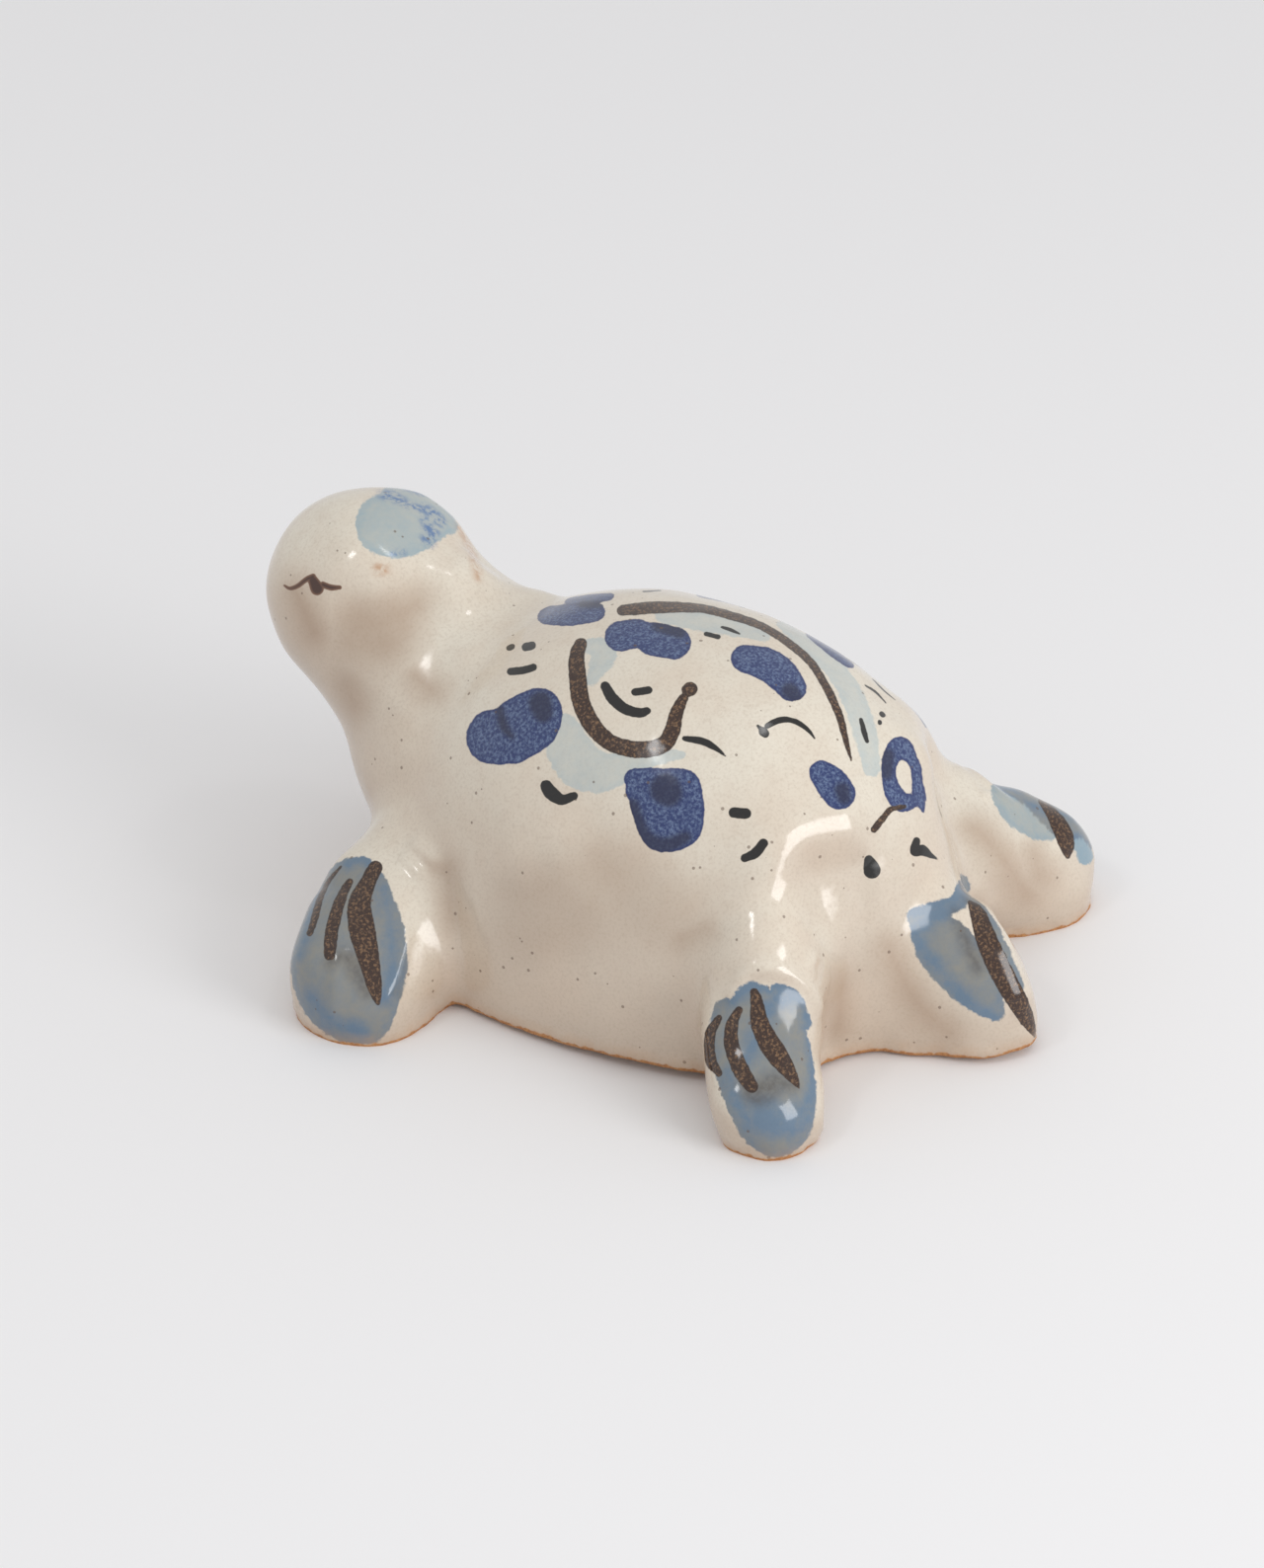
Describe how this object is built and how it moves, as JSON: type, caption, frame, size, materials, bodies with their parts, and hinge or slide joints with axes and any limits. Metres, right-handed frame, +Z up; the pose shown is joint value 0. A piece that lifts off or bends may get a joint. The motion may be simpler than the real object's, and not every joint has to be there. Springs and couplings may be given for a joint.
{
  "type": "turtle figurine",
  "caption": "Small glazed stoneware turtle, hollow underneath, with raised head, splayed feet and a pointed tail; stands on its feet as a shelf ornament.",
  "frame": {"origin": "on the table plane, under the middle of the bounding box", "axes": "+Z up; the turtle faces -Y, its left side is +X and its tail points to +Y"},
  "size_m": [0.0698, 0.0894, 0.0412],
  "materials": {
    "glaze": "glossy clear glaze over warm grey-beige slip with iron specks, cobalt dabs, iron-brown brush lines and black dashes; bare orange-brown stoneware on the soles, the rim and the underside"
  },
  "bodies": {
    "root": {"body": "glaze", "head_and_neck": "glaze", "front_left_foot": "glaze", "front_right_foot": "glaze", "rear_left_foot": "glaze", "rear_right_foot": "glaze", "tail": "glaze"}
  },
  "joints": []
}
